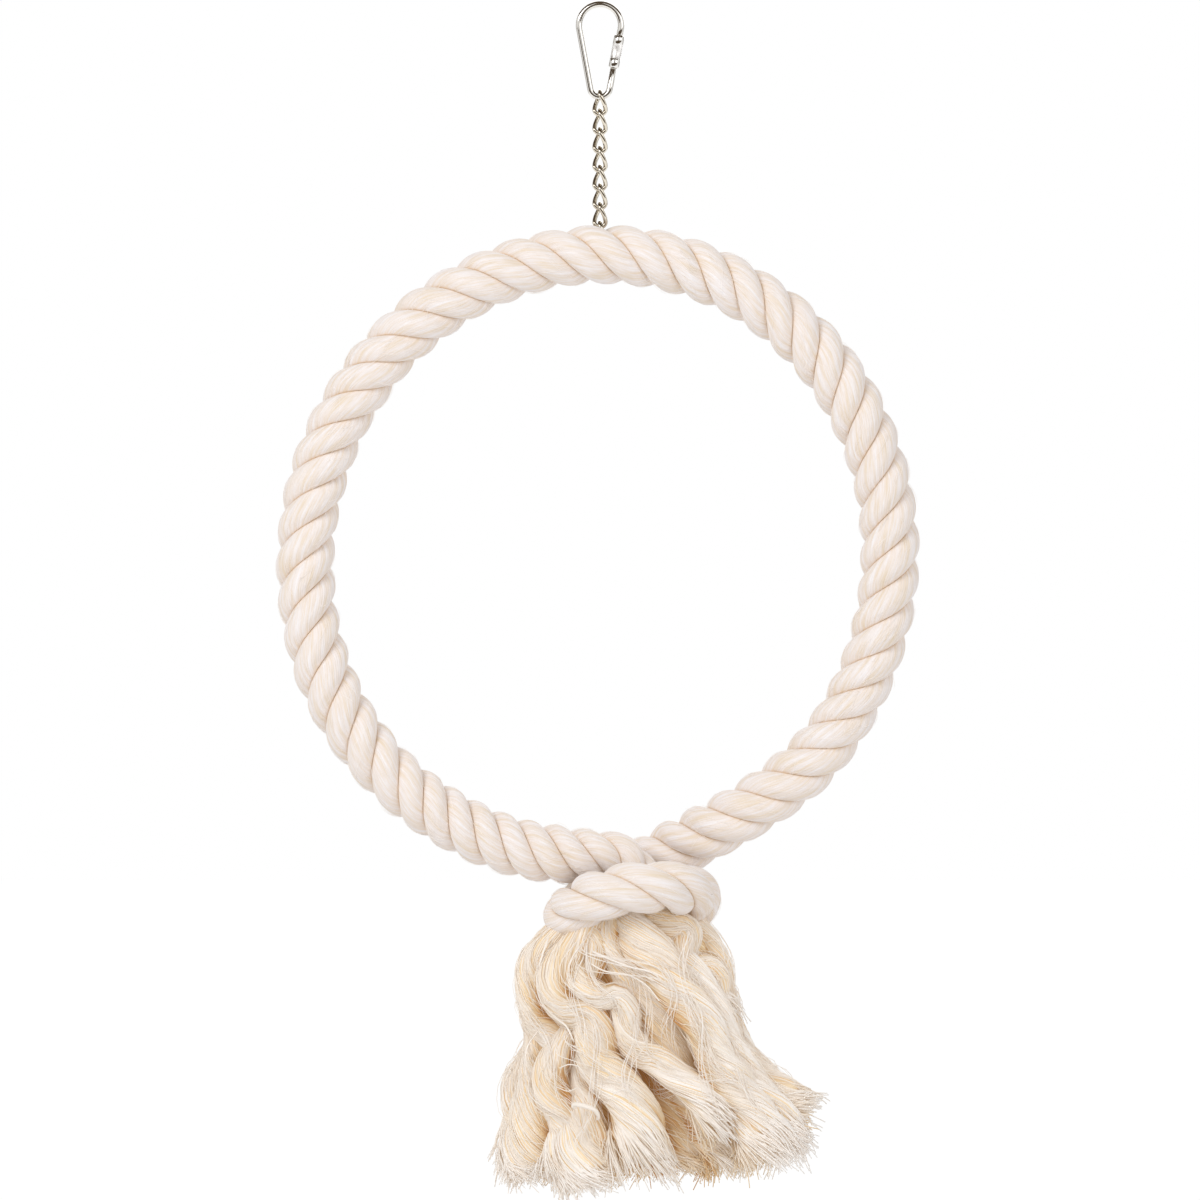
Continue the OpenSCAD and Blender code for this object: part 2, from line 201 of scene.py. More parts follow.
# Laid cotton rope: soft unbleached yarns side by side, matt, with cream and whiter stretches,
# a few seed specks, and hairs that catch the light at the edges.
def cotton_rope_material():
    material, tree = new_material("laid_unbleached_cotton")
    place = add(tree, "ShaderNodeUVMap", uv_map="along").outputs["UV"]
    yarns = add(tree, "ShaderNodeMapping", {
        "Vector": place, "Rotation": (0, 0, -yarn_tilt)}).outputs["Vector"]

    def streaks(length, width, detail):
        stretched = add(tree, "ShaderNodeMapping", {
            "Vector": yarns, "Scale": (1 / length, 1 / width, 1)}).outputs["Vector"]
        return add(tree, "ShaderNodeTexNoise", {
            "Vector": stretched, "Scale": 1.0, "Detail": detail, "Roughness": 0.6}).outputs["Fac"]

    broad = streaks(0.018, 0.0016, 3.0)
    fine = streaks(0.007, 0.00022, 2.0)
    blend = add(tree, "ShaderNodeMath", {
        0: fine, 1: 0.6, 2: broad}, operation="MULTIPLY_ADD").outputs[0]
    colour = add(tree, "ShaderNodeValToRGB", {"Fac": blend}, [
        (0.60, rope_cream), (0.80, rope_mean), (1.0, rope_white)]).outputs["Color"]

    # Painted shade: down in the seams between strands the colour is mixed toward a warm brown, as little
    # light gets there.
    painted_shade = add(tree, "ShaderNodeAttribute", attribute_name="painted_shade").outputs["Fac"]
    colour = add(tree, "ShaderNodeMix", {
        "Factor": painted_shade, "A": colour, "B": linear(seam_shade_brown)}, data_type="RGBA").outputs["Result"]

    # Seed specks: rare cells of a fine cell pattern, brown.
    cells = add(tree, "ShaderNodeTexVoronoi", {"Vector": place, "Scale": 1 / 0.011})
    near = add(tree, "ShaderNodeMath", {
        0: cells.outputs["Distance"], 1: 0.022}, operation="LESS_THAN").outputs[0]
    some = add(tree, "ShaderNodeSeparateColor", {"Color": cells.outputs["Color"]}).outputs[0]
    rare = add(tree, "ShaderNodeMath", {0: some, 1: 0.86}, operation="GREATER_THAN").outputs[0]
    speck = add(tree, "ShaderNodeMath", {0: near, 1: rare}, operation="MULTIPLY").outputs[0]
    colour = add(tree, "ShaderNodeMix", {
        "Factor": speck, "A": colour, "B": linear(speck_brown)}, data_type="RGBA").outputs["Result"]

    # Yarns stand about a tenth of a millimetre out of their valleys.
    ridges = add(tree, "ShaderNodeTexWave", {
        "Vector": yarns, "Scale": 2 * math.pi / 20 / yarn_spacing, "Distortion": 1.2, "Detail": 2.0,
        "Detail Scale": 0.15}, wave_type="BANDS", bands_direction="Y").outputs["Fac"]
    hairs = streaks(0.006, 0.00030, 3.0)
    relief = add(tree, "ShaderNodeMath", {0: ridges, 1: hairs}, operation="ADD").outputs[0]
    lumps = streaks(0.010, 0.004, 1.0)
    relief = add(tree, "ShaderNodeMath", {
        0: lumps, 1: 1.6, 2: relief}, operation="MULTIPLY_ADD").outputs[0]
    bump = add(tree, "ShaderNodeBump", {"Height": relief, "Strength": 0.5, "Distance": 0.00014})
    shader = add(tree, "ShaderNodeBsdfPrincipled", {
        "Base Color": colour, "Roughness": 0.9, "Specular IOR Level": 0.2,
        "Sheen Weight": 0.25, "Sheen Roughness": 0.6, "Normal": bump.outputs["Normal"]})
    add(tree, "ShaderNodeOutputMaterial", {"Surface": shader.outputs["BSDF"]})
    return material


# Frayed cotton yarn: soft singles, each with its own tone from cream to white. Painted shade in the tone
# makes yarns on the flanks and in shaded locks warmer and darker, and a faint warm painted glow stands in
# for light that has passed through much cotton.
def cotton_yarn_material():
    material, tree = new_material("frayed_cotton_yarn")
    tone = add(tree, "ShaderNodeAttribute", attribute_name="tone").outputs["Fac"]
    place = add(tree, "ShaderNodeTexCoord").outputs["Object"]
    patchy = add(tree, "ShaderNodeTexNoise", {"Vector": place, "Scale": 70.0, "Detail": 2.0})
    blend = add(tree, "ShaderNodeMath", {
        0: patchy.outputs["Fac"], 1: 0.4, 2: tone}, operation="MULTIPLY_ADD").outputs[0]
    # The ramp's warm brown low end is reached by the painted shade in the tone.
    colour = add(tree, "ShaderNodeValToRGB", {"Fac": blend}, [
        (0.0, "c58b45"), (0.28, "e3caa3"), (0.58, "efe5d8"), (1.0, "f7f3ef")]).outputs["Color"]
    fibres = add(tree, "ShaderNodeTexNoise", {"Vector": place, "Scale": 2600.0, "Detail": 2.0})
    bump = add(tree, "ShaderNodeBump", {
        "Height": fibres.outputs["Fac"], "Strength": 0.4, "Distance": 0.0001})
    # Painted glow: a faint warm emission.
    shader = add(tree, "ShaderNodeBsdfPrincipled", {
        "Base Color": colour, "Roughness": 0.9, "Specular IOR Level": 0.2,
        "Emission Color": linear(painted_glow_colour), "Emission Strength": yarn_painted_glow,
        "Sheen Weight": 0.4, "Sheen Roughness": 0.5, "Normal": bump.outputs["Normal"]})
    add(tree, "ShaderNodeOutputMaterial", {"Surface": shader.outputs["BSDF"]})
    return material


# Packed yarns in the heart of a lock: combed lines run along it, painted a warmer cream than the yarns as
# shade for its depth, and painted warm brown on its flanks, where light dies out, with a faint warm painted
# glow.
def lock_cotton_material():
    material, tree = new_material("packed_cotton_yarn")
    place = add(tree, "ShaderNodeUVMap", uv_map="along").outputs["UV"]
    stretched = add(tree, "ShaderNodeMapping", {
        "Vector": place, "Scale": (1 / 0.016, 1 / 0.0005, 1)}).outputs["Vector"]
    lines = add(tree, "ShaderNodeTexNoise", {
        "Vector": stretched, "Scale": 1.0, "Detail": 3.0, "Roughness": 0.6}).outputs["Fac"]
    # Painted shade: the heart's cream is warmer than the yarns', for its depth.
    colour = add(tree, "ShaderNodeValToRGB", {"Fac": lines}, [
        (0.30, "e2bf8c"), (0.46, "edd8b4"), (0.62, "f3e5cf")]).outputs["Color"]
    # Painted shade: the heart's flanks are mixed toward a warm brown.
    flank_shade = add(tree, "ShaderNodeAttribute", attribute_name="painted_shade").outputs["Fac"]
    colour = add(tree, "ShaderNodeMix", {
        "Factor": flank_shade, "A": colour, "B": linear(flank_shade_brown)}, data_type="RGBA").outputs["Result"]
    bump = add(tree, "ShaderNodeBump", {"Height": lines, "Strength": 0.6, "Distance": 0.0002})
    # Painted glow: a faint warm emission.
    shader = add(tree, "ShaderNodeBsdfPrincipled", {
        "Base Color": colour, "Roughness": 0.9, "Specular IOR Level": 0.2,
        "Emission Color": linear(painted_glow_colour), "Emission Strength": heart_painted_glow,
        "Sheen Weight": 0.2, "Sheen Roughness": 0.6, "Normal": bump.outputs["Normal"]})
    add(tree, "ShaderNodeOutputMaterial", {"Surface": shader.outputs["BSDF"]})
    return material


# Painted glow: the cotton emits a faint warm light, which stands in for light that has passed through many
# yarns and comes out of them again, soft and warm.
painted_glow_colour, yarn_painted_glow, heart_painted_glow = "e6ba80", 0.085, 0.09
yarn_spacing, yarn_tilt = 0.0009, math.radians(17)
rope_cream, rope_mean, rope_white = "e9d8c2", "f0e5de", "f6f1f1"
# Seam and flank browns are painted shade; the speck brown is the seeds' own colour.
seam_shade_brown, speck_brown, flank_shade_brown = "e0c096", "8a6a45", "b87f3e"
wire_steel = plated_steel("nickel_plated_wire", "d6d3cd", 0.10)
chain_steel = plated_steel("nickel_plated_chain", "cdc5b6", 0.09)
sleeve_steel = plated_steel("nickel_plated_sleeve", "d8d6d2", 0.12)
satin_steel = plated_steel("satin_knurled_band", "f0eeec", 0.45)
core_steel = plated_steel("galvanised_core_wire", "a9a7a2", 0.35)
rope_cotton = cotton_rope_material()
lock_cotton = lock_cotton_material()
yarn_cotton = cotton_yarn_material()


# Camera, lights and floor.

# The photograph's frame is this wide where the ring hangs, and this high above its middle.
photo_span, photo_middle_z, camera_distance = 0.4673, -0.2308, 4.0
camera_data = bpy.data.cameras.new("camera")
camera_data.sensor_width = 36.0
camera_data.lens = 36.0 * camera_distance / photo_span
camera_data.clip_end = 50
camera = bpy.data.objects.new("camera", camera_data)
camera.location = (0, -camera_distance, photo_middle_z)
camera.rotation_euler = (math.pi / 2, 0, 0)
bpy.context.scene.collection.objects.link(camera)
bpy.context.scene.camera = camera
bpy.context.scene.view_settings.view_transform = "Standard"


def soft_box(name, place, size, power):
    """A lamp that faces the middle of the photograph's frame."""
    data = bpy.data.lights.new(name, "AREA")
    data.shape = "RECTANGLE"
    data.size, data.size_y = size
    data.energy = power
    light = bpy.data.objects.new(name, data)
    light.location = place
    aim = Vector((0, 0, photo_middle_z)) - light.location
    light.rotation_euler = aim.to_track_quat("-Z", "Y").to_euler()
    light.visible_camera = False
    bpy.context.scene.collection.objects.link(light)


soft_box("key", (-1.3, -1.7, 1.1), (1.4, 1.4), 26)
soft_box("fill", (1.6, -1.8, 0.2), (1.6, 1.6), 10)
soft_box("back", (0.4, 1.8, 0.9), (1.8, 1.8), 12)


def studio_sheet(name, material, width, height, placed):
    """A flat sheet that stands by the object."""
    bm = bmesh.new()
    bmesh.ops.create_grid(bm, x_segments=1, y_segments=1, size=0.5,
                          matrix=placed @ Matrix.Diagonal((width, height, 1, 1)))
    mesh = mesh_from(bm)
    mesh.materials.append(material)
    sheet = bpy.data.objects.new(name, mesh)
    bpy.context.scene.collection.objects.link(sheet)
    return sheet


def dark_flag(name, place, width, height):
    """A flag that faces the plated metal and that nothing else sees. It draws the metal's dark
    edges, as in a studio."""
    turn = (-Vector(place)).to_track_quat("Z", "Y").to_matrix().to_4x4()
    flag = studio_sheet(name, flag_cloth, width, height, Matrix.Translation(place) @ turn)
    flag.visible_camera = flag.visible_diffuse = flag.visible_transmission = False
    flag.visible_volume_scatter = flag.visible_shadow = False


flag_cloth, tree = new_material("dark_flag_cloth")
cloth = add(tree, "ShaderNodeEmission", {"Color": linear("8a7660"), "Strength": 0.42})
add(tree, "ShaderNodeOutputMaterial", {"Surface": cloth.outputs[0]})
dark_flag("front_flag", (0, -1.2, 0.0), 0.2, 3.0)
dark_flag("ceiling_flag", (0, -0.2, 1.3), 5.0, 2.6)
dark_flag("low_flag", (0, -1.0, -0.72), 5.0, 1.6)
dark_flag("left_flag", (-1.3, 0.9, 0.0), 0.5, 3.0)
dark_flag("right_flag", (1.3, 0.9, 0.0), 0.5, 3.0)

world = bpy.data.worlds.new("white_studio")
world.use_nodes = True
tree = world.node_tree
tree.nodes.clear()
ray = add(tree, "ShaderNodeLightPath").outputs
seen = add(tree, "ShaderNodeMath", {
    0: ray["Is Camera Ray"], 1: ray["Is Glossy Ray"]}, operation="MAXIMUM")
seen = add(tree, "ShaderNodeMath", {
    0: seen.outputs[0], 1: ray["Is Transmission Ray"]}, operation="MAXIMUM")
strength = add(tree, "ShaderNodeMapRange", {"Value": seen.outputs[0], "To Min": 0.62, "To Max": 1.0})
sky = add(tree, "ShaderNodeBackground", {
    "Color": (1, 1, 1, 1), "Strength": strength.outputs["Result"]})
add(tree, "ShaderNodeOutputWorld", {"Surface": sky.outputs["Background"]})
bpy.context.scene.world = world

floor_z, floor_side = -0.75, 30
floor_paint, tree = new_material("white_floor")
ray = add(tree, "ShaderNodeLightPath").outputs
seen = add(tree, "ShaderNodeMath", {
    0: ray["Is Camera Ray"], 1: ray["Is Glossy Ray"]}, operation="MAXIMUM")
matt = add(tree, "ShaderNodeBsdfDiffuse", {"Color": (0.9, 0.9, 0.9, 1)})
glow = add(tree, "ShaderNodeEmission", {"Color": (1, 1, 1, 1), "Strength": 0.45})
dark = add(tree, "ShaderNodeEmission", {"Strength": 0.0})
lift = add(tree, "ShaderNodeMixShader", {
    0: seen.outputs[0], 1: dark.outputs[0], 2: glow.outputs[0]})
both = add(tree, "ShaderNodeAddShader", {0: matt.outputs[0], 1: lift.outputs[0]})
add(tree, "ShaderNodeOutputMaterial", {"Surface": both.outputs[0]})
floor = studio_sheet("floor", floor_paint, floor_side, floor_side, Matrix.Translation((0, 0, floor_z)))


# Quick link: one bent wire, with a gate that the sleeve covers.

def arc(centre, radius, start, end, count):
    """Points along a bend of the wire, seen from the front."""
    return [Vector((centre[0] + radius * math.cos(a), 0, centre[2] + radius * math.sin(a)))
            for a in np.linspace(start, end, count)]


def quick_link_wire():
    """Round from the gate's upper end to its lower end, with both ends hidden in the sleeve."""
    gate_top = leg_top + leg_down * gate_start
    gate_low = leg_top + leg_down * gate_end
    top = arc((0, 0, wide_z), wide_r, -leg_tilt, math.pi + leg_tilt, 49)
    low = arc((0, 0, narrow_z), narrow_r, math.pi + leg_tilt, 2 * math.pi - leg_tilt, 33)
    line = [gate_top] + top + low + [gate_low]
    mesh = drawn_tubes([[tuple(p) for p in line]], [wire_r], sides=24)
    weld(mesh)
    return finish_piece("bent_wire", mesh, wire_steel, "quick_link", ["quick_link_wire"])


def quick_link_sleeve():
    """A turned barrel: chamfered ends, polished end bands and a satin middle, whose fine knurl is
    left to the satin finish."""
    bore, band, chamfer, step = wire_r + 0.00005, 0.0036, sleeve_r / 5, 0.00008
    outline = [(bore, 0), (sleeve_r - chamfer, 0), (sleeve_r, chamfer), (sleeve_r, band),
               (sleeve_r - step, band + step), (sleeve_r - step, sleeve_len - band - step),
               (sleeve_r, sleeve_len - band), (sleeve_r, sleeve_len - chamfer),
               (sleeve_r - chamfer, sleeve_len), (bore, sleeve_len)]
    bm = bmesh.new()
    verts = [bm.verts.new((r, 0, z)) for r, z in outline]
    edges = [bm.edges.new((a, b)) for a, b in zip(verts, verts[1:] + verts[:1])]
    bmesh.ops.spin(bm, geom=verts + edges, cent=(0, 0, 0), axis=(0, 0, 1), angle=2 * math.pi,
                   steps=96, use_merge=True)
    bmesh.ops.remove_doubles(bm, verts=bm.verts, dist=1e-7)
    turn = (-leg_down).to_track_quat("Z", "Y").to_matrix().to_4x4()
    place = Matrix.Translation(leg_top + leg_down * (sleeve_start + sleeve_len)) @ turn
    bmesh.ops.transform(bm, matrix=place, verts=bm.verts)
    bmesh.ops.recalc_face_normals(bm, faces=bm.faces)
    piece = finish_piece("screw_sleeve", mesh_from(bm), sleeve_steel, "sleeve",
                         ["quick_link_sleeve"])
    piece.data.materials.append(satin_steel)
    middle_point = leg_top + leg_down * (sleeve_start + sleeve_len / 2)
    for face in piece.data.polygons:
        away = face.center - middle_point
        along = away.dot(leg_down)
        outside = (away - along * leg_down).length > bore * 1.1
        if outside and abs(along) < sleeve_len / 2 - band:
            face.material_index = 1


# Chain links: each a wire oval turned by a quarter between its two bends.

def link_line(index):
    """The wire's middle line of one link. The last link is flat."""
    last = index == link_count
    turn = 0.0 if last else math.pi / 2
    pitch = last_pitch if last else chain_pitch
    half = (pitch + bearing_gap) / 2 + chain_r - chain_bend_r
    quarter = math.pi / 2 * chain_bend_r
    loop = 4 * quarter + 4 * half
    top = chain_top_z - (index - 1) * chain_pitch
    middle_z = top - chain_r - chain_bend_r - half

    def oval(s):
        if s < quarter:
            a = s / chain_bend_r
            return chain_bend_r * math.sin(a), half + chain_bend_r * math.cos(a)
        if s < quarter + 2 * half:
            return chain_bend_r, half - (s - quarter)
        if s < 2 * quarter + 2 * half:
            a = (s - quarter - 2 * half) / chain_bend_r
            return chain_bend_r * math.cos(a), -half - chain_bend_r * math.sin(a)
        x, z = oval(s - loop / 2)
        return -x, -z

    line = []
    for s in np.linspace(0, loop, 73)[:-1]:
        x, z = oval(s)
        rise = max(-1.0, min(1.0, z / (half + chain_bend_r * 0.35)))
        angle = math.pi / 2 + turn * (1 - rise) / 2
        line.append((x * math.cos(angle), x * math.sin(angle), z + middle_z))
    return line


def chain_links():
    for index in range(1, link_count + 1):
        mesh = drawn_tubes([link_line(index)], [chain_r], sides=16, closed=True)
        body = f"link_{index}" if index < link_count else "ring"
        finish_piece(f"twisted_link_{index}", mesh, chain_steel, body,
                     [f"chain_link_{index}"])


quick_link_wire()
quick_link_sleeve()
chain_links()
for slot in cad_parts["core_wire"].material_slots:
    slot.material = core_steel


# The rope's route, the same as in the part's source.

short_way = np.array([math.cos(ring_lean), 0, -math.sin(ring_lean)])
long_way = np.array([math.sin(ring_lean), 0, math.cos(ring_lean)])


def reach_at(angle):
    return ring_a * math.sin(angle) * short_way - ring_b * math.cos(angle) * long_way


hang_reach = math.hypot(ring_a * math.cos(ring_lean), ring_b * math.sin(ring_lean))
hang_angle = (math.pi + math.atan2(ring_b * math.sin(ring_lean), ring_a * math.cos(ring_lean))
              - math.asin(ring_shift / hang_reach))
ring_z = hang_z - reach_at(hang_angle)[2]
ring_low_z = ring_z - math.hypot(ring_b * math.cos(ring_lean), ring_a * math.sin(ring_lean))


def ring_at(angle, grow=1.0):
    return np.array([-ring_shift, 0, ring_z]) + grow * reach_at(angle)


def pull_in(step):
    """A smooth curve runs inside control points on a circle by this factor."""
    return (2 + math.cos(step)) / 3


def lifted_ring_at(angle, grow=1.0):
    """The ring's line, lifted near the knot by the turn of rope below it."""
    share = np.interp(math.degrees(angle), [-50, -20, 5, 20], [0, 0.8, 0.9, 1])
    return ring_at(angle, grow) + np.array([0, 0, knot_lift * share])


def round_neck(angle, reach_share, drop_share):
    reach = wrap_r * reach_share
    return [knot_x + reach * math.cos(angle), reach * math.sin(angle),
            ring_low_z - 2 * rope_r * drop_share]


def rope_controls():
    """Up the neck, left round the ring, behind the neck and once round it."""
    deg = math.radians
    tries = [deg(a) for a in np.arange(0, 50.1, 0.5)]
    leave = float(np.interp(neck_x - neck_bend_r, [ring_at(a)[0] for a in tries], tries))
    neck = [[neck_x, 0, ring_low_z - share * 2 * rope_r] for share in (1.9, 1.6, 1.3, 1.04)]
    centre = np.array([neck_x - neck_bend_r, 0, lifted_ring_at(leave)[2] - neck_bend_r])
    bend_step = 26
    bend = [centre + neck_bend_r / pull_in(deg(bend_step)) * np.array([math.cos(a), 0, math.sin(a)])
            for a in (deg(bend_step * i) for i in range(4))]
    turns = [(4, 6), (11, 9), (19, 13)] + [(turn, 15) for turn in range(31, 317, 15)]
    ring = [lifted_ring_at(leave - deg(turn), 1 / pull_in(deg(step))) for turn, step in turns]
    entry = [round_neck(deg(a), reach, drop) for a, reach, drop in (
        (5, 1.72, -0.82), (20, 1.29, -0.55), (39, 1.08, -0.32), (66, 0.99, -0.1), (95, 1.02, 0.19),
        (122, 1.05, 0.52), (150, 1.08, 0.8))]
    reaches = (1.05, 1.04, 1.01, 0.985, 0.985, 0.99, 1.01, 1.02, 1.02, 0.98, 0.92)
    drops = (0.93, 0.7, 0.47, 0.37, 0.365, 0.42, 0.54, 0.79, 1.16, 1.5, 1.78)
    wrap_step = 30
    wrap = [round_neck(deg(180 + wrap_step * i), reach / pull_in(deg(wrap_step)), drop)
            for i, (reach, drop) in enumerate(zip(reaches, drops))]
    return np.array([list(p) for p in neck + bend + ring + entry + wrap])


def curve_at(controls, place):
    """A smooth curve through control points, at places counted in points."""
    i = np.clip(np.floor(place).astype(int), 0, len(controls) - 4)
    t = (place - i)[:, None]
    p = controls
    return ((1 - t) ** 3 * p[i] + (3 * t ** 3 - 6 * t * t + 4) * p[i + 1]
            + (3 * (t + t * t - t ** 3) + 1) * p[i + 2] + t ** 3 * p[i + 3]) / 6


def carried_frames(line, side):
    """Two side directions, square to a line and each other, carried along it without twist."""
    ahead = np.gradient(line, axis=0)
    ahead /= np.linalg.norm(ahead, axis=1)[:, None]
    sides = np.empty_like(line)
    u = np.array(side, float)
    for i, t in enumerate(ahead):
        u = u - (u @ t) * t
        u /= np.linalg.norm(u)
        sides[i] = u
    return sides, np.cross(ahead, sides)


controls = rope_controls()
coarse_places = np.arange(0, (len(controls) - 3) * 8) / 8
coarse = curve_at(controls, coarse_places)
coarse_lengths = np.concatenate([[0], np.cumsum(np.linalg.norm(np.diff(coarse, axis=0), axis=1))])
rope_len = coarse_lengths[-1]


def rope_at(lengths):
    return curve_at(controls, np.interp(lengths, coarse_lengths, coarse_places))


def squeeze(lengths):
    """The neck and the turn round it are pressed thinner."""
    d = 2 * rope_r
    start = math.pi / 2 * neck_bend_r + d
    full_until = rope_len - 2 * math.pi * wrap_r - 1.4 * d
    places = [start, start + d, full_until, full_until + d]
    return np.interp(lengths, places, [neck_d / d, 1, 1, wrap_d / d])


def twist(lengths):
    loose_from = rope_len - loose_len
    return 2 * math.pi * (np.minimum(lengths, tight_len) / tight_lay
                          + np.maximum(np.minimum(lengths, loose_from) - tight_len, 0) / lay
                          + np.maximum(lengths - loose_from, 0) / loose_lay)


groove_depth, groove_power, strand_gap, ring_spacing = 0.0034, 2.4, 0.00012, 0.0010


def strand_outline(crown_count=36):
    """One strand's section as angles and radii round the rope's middle."""
    edge = math.pi / strand_count - strand_gap / 2 / (rope_r - groove_depth)
    shares = np.sin(np.linspace(-1, 1, crown_count) * math.pi / 2 * 0.999)
    angles = shares * edge
    radii = rope_r - groove_depth * np.abs(shares) ** groove_power
    wall = np.array([0.75, 0.5]) * radii[-1]
    angles = np.concatenate([angles, [edge, edge * 0.97, -edge * 0.97, -edge]])
    radii = np.concatenate([radii, wall, wall[::-1]])
    return angles, radii


def rope_strands():
    lengths = np.linspace(0, rope_len, int(rope_len / ring_spacing) + 1)
    line = rope_at(lengths)
    side, other = carried_frames(line, [0, 1, 0])
    angles, radii = strand_outline()
    around = np.append(angles, angles[0])
    unrolled = np.append(angles, 2 * math.pi + angles[0])
    edge_share = np.abs(around) / np.abs(around).max()
    # Painted shade: near the seams the strands get a weight toward a warm brown.
    painted_shade = np.interp(edge_share, [0.0, 0.86, 0.95, 1.0], [0, 0.04, 0.20, 0.70])
    for strand in range(strand_count):
        turn = lay_turn + 2 * math.pi * strand / strand_count + twist(lengths)
        a = around[None, :] + turn[:, None]
        r = np.append(radii, radii[0])[None, :] * squeeze(lengths)[:, None]
        # Soft strands are never quite even.
        s = lengths[:, None] / 0.023 + strand * 3.7
        r = r * (1 + 0.012 * np.sin(s * 2 * math.pi * 0.61) + 0.010 * np.sin(s * 2 * math.pi * 0.27 + 1))
        points = (line[:, None, :] + (r * np.cos(a))[..., None] * side[:, None, :]
                  + (r * np.sin(a))[..., None] * other[:, None, :])
        along = np.broadcast_to(lengths[:, None], a.shape)
        across = (unrolled[None, :] + turn[:, None]) * rope_r + strand * 0.31
        bm = swept_skin(points, along, across, np.broadcast_to(painted_shade, a.shape))
        finish_piece(f"laid_strand_{strand + 1}", mesh_from(bm), rope_cotton, "ring",
                     [f"rope_strand_{strand + 1}"])


rope_strands()


def rope_hairs(count):
    """Short loose hairs that lie on the strands and lift a little from them."""
    part = np.linspace(0, 1, 7)
    starts = rng.uniform(0.03, rope_len - 0.03, count)
    spread = rng.uniform(0.004, 0.010, count)
    lengths = (starts[:, None] + spread[:, None] * part).ravel()
    order = np.argsort(lengths)
    line = rope_at(lengths[order])
    side, other = carried_frames(line, [0, 1, 0])
    back = np.argsort(order)
    line, side, other = line[back], side[back], other[back]
    first_angles = rng.uniform(0, 2 * math.pi, count)[:, None]
    angles = (first_angles + rng.normal(0.3, 0.35, count)[:, None] * part).ravel()
    across_strand = (angles - lay_turn - twist(lengths)) * strand_count / (2 * math.pi)
    share = np.abs(2 * ((across_strand + 0.5) % 1) - 1)
    lift = 0.00003 + rng.gamma(1.5, 0.00013, count)[:, None] * np.sin(part * math.pi * 0.6)
    radius = (rope_r - groove_depth * share ** groove_power) * squeeze(lengths) * 1.004 + lift.ravel()
    around = np.cos(angles)[:, None] * side + np.sin(angles)[:, None] * other
    points = line + radius[:, None] * around
    # None stand where the chain swings in front of the rope.
    chain_end, chain_room = np.array([0, 0, -0.0915]), 0.013
    hairs = [(hair, np.interp(part, [0, 0.5, 1], hair_radii), hair_tone)
             for hair in points.reshape(count, len(part), 3)
             if np.linalg.norm(hair - chain_end, axis=1).min() > chain_room]
    finish_yarns("rope_hairs", hairs)


